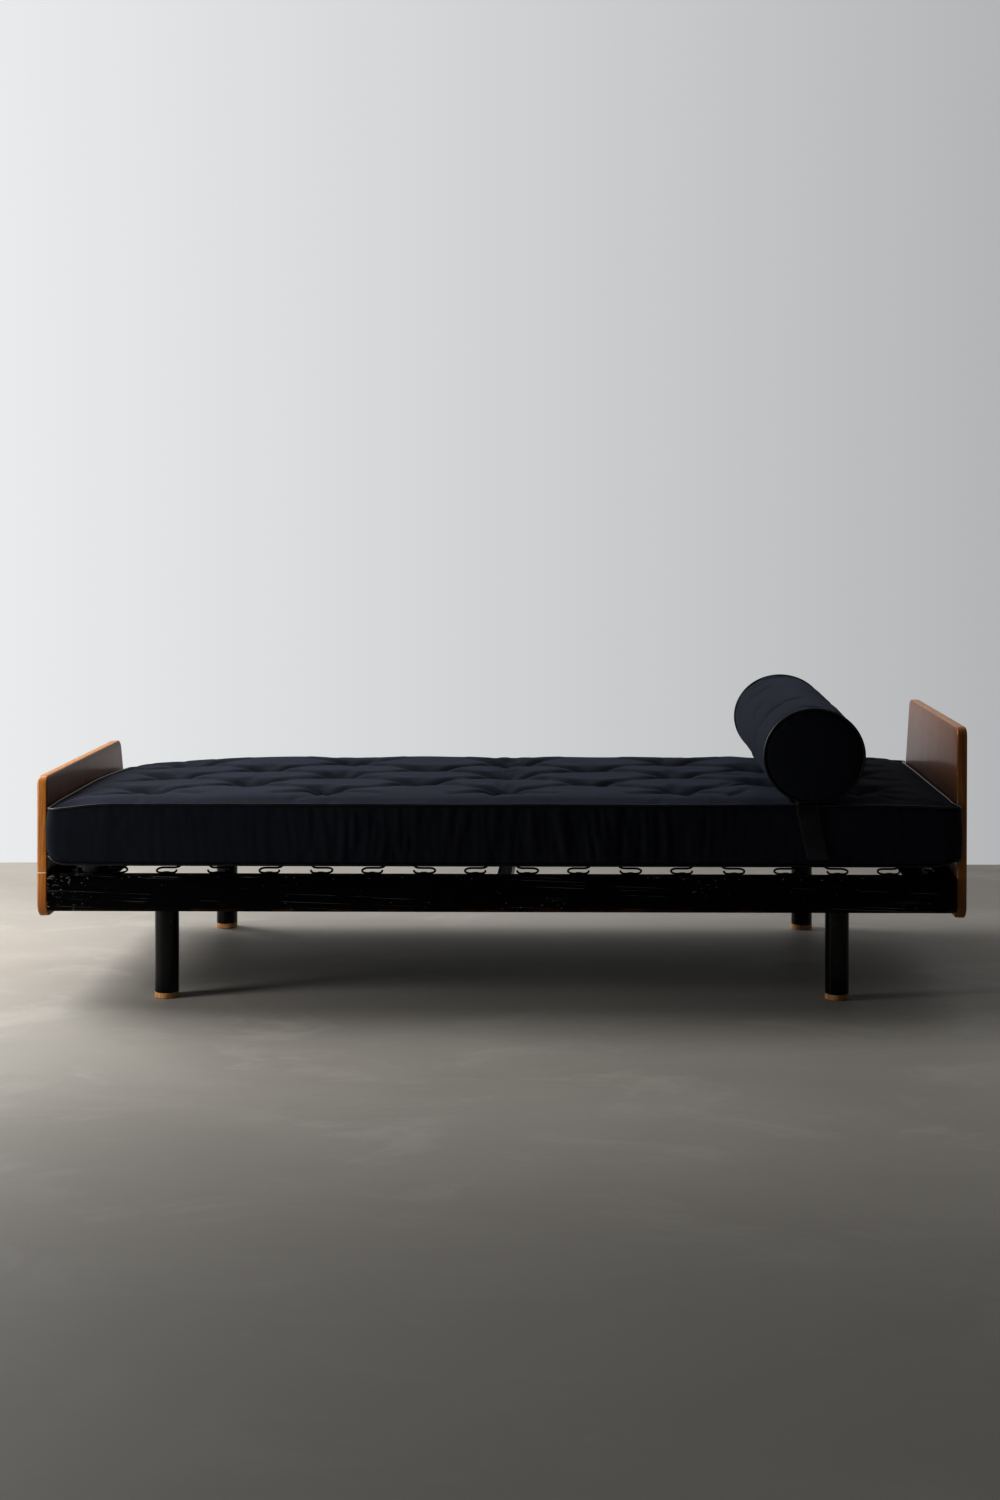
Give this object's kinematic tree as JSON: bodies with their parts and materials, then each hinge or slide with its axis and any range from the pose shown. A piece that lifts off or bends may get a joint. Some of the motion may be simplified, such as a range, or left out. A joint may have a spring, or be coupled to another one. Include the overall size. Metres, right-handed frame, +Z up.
{
  "type": "daybed",
  "caption": "Low daybed: folded black steel frame on round tube legs, wooden end panels, sinuous springs, tufted mattress and a round bolster with a leather strap.",
  "frame": {"origin": "on the floor, under the middle of the daybed", "axes": "+X along the daybed to the head end, +Y from the front to the back, +Z up"},
  "size_m": [1.9698, 0.8075, 0.6156],
  "materials": {
    "black_lacquered_steel": "black lacquer, semi-gloss, chipped and scratched",
    "black_tube": "black lacquer, glossy",
    "foot_wood": "turned wood, worn matte",
    "panel_wood": "lacquered, semi-gloss, upright grain",
    "bolt_steel": "bare steel, dulled",
    "spring_wire": "dark tempered wire",
    "navy_fabric": "matte dark navy cotton",
    "dark_leather": "black leather, glossy"
  },
  "bodies": {
    "frame": {"front_rail": "black_lacquered_steel", "rear_rail": "black_lacquered_steel", "foot_end_rail": "black_lacquered_steel", "head_end_rail": "black_lacquered_steel", "centre_crossbar": "black_lacquered_steel", "corner_plate_foot_front": "black_lacquered_steel", "corner_plate_foot_rear": "black_lacquered_steel", "corner_plate_head_front": "black_lacquered_steel", "corner_plate_head_rear": "black_lacquered_steel", "end_lug_foot_front": "black_lacquered_steel", "end_lug_foot_rear": "black_lacquered_steel", "end_lug_head_front": "black_lacquered_steel", "end_lug_head_rear": "black_lacquered_steel", "leg_front_left": "black_tube", "leg_front_right": "black_tube", "leg_rear_left": "black_tube", "leg_rear_right": "black_tube", "foot_front_left": "foot_wood", "foot_front_right": "foot_wood", "foot_rear_left": "foot_wood", "foot_rear_right": "foot_wood", "foot_panel": "panel_wood", "head_panel": "panel_wood", "corner_bolt_foot_front": "bolt_steel", "corner_bolt_foot_rear": "bolt_steel", "corner_bolt_head_front": "bolt_steel", "corner_bolt_head_rear": "bolt_steel", "corner_nut_foot_front": "bolt_steel", "corner_nut_foot_rear": "bolt_steel", "corner_nut_head_front": "bolt_steel", "corner_nut_head_rear": "bolt_steel", "panel_bolt_foot_0": "bolt_steel", "panel_bolt_foot_1": "bolt_steel", "panel_bolt_foot_2": "bolt_steel", "panel_bolt_head_0": "bolt_steel", "panel_bolt_head_1": "bolt_steel", "panel_bolt_head_2": "bolt_steel", "spring_00": "spring_wire", "spring_01": "spring_wire", "spring_02": "spring_wire", "spring_03": "spring_wire", "spring_04": "spring_wire", "spring_05": "spring_wire", "spring_06": "spring_wire", "spring_07": "spring_wire", "spring_08": "spring_wire", "spring_09": "spring_wire", "spring_10": "spring_wire", "spring_11": "spring_wire", "spring_12": "spring_wire", "spring_13": "spring_wire", "spring_14": "spring_wire", "spring_15": "spring_wire"},
    "mattress": {"mattress": "navy_fabric"},
    "bolster": {"bolster": "navy_fabric", "bolster_strap": "dark_leather"}
  },
  "joints": [
    {"name": "mattress_lift", "type": "slide", "parent": "frame", "child": "mattress", "axis": [0, 0, 1], "range_m": [0, 0.3]},
    {"name": "bolster_lift", "type": "slide", "parent": "mattress", "child": "bolster", "axis": [0, 0, 1], "range_m": [0, 0.2]}
  ]
}
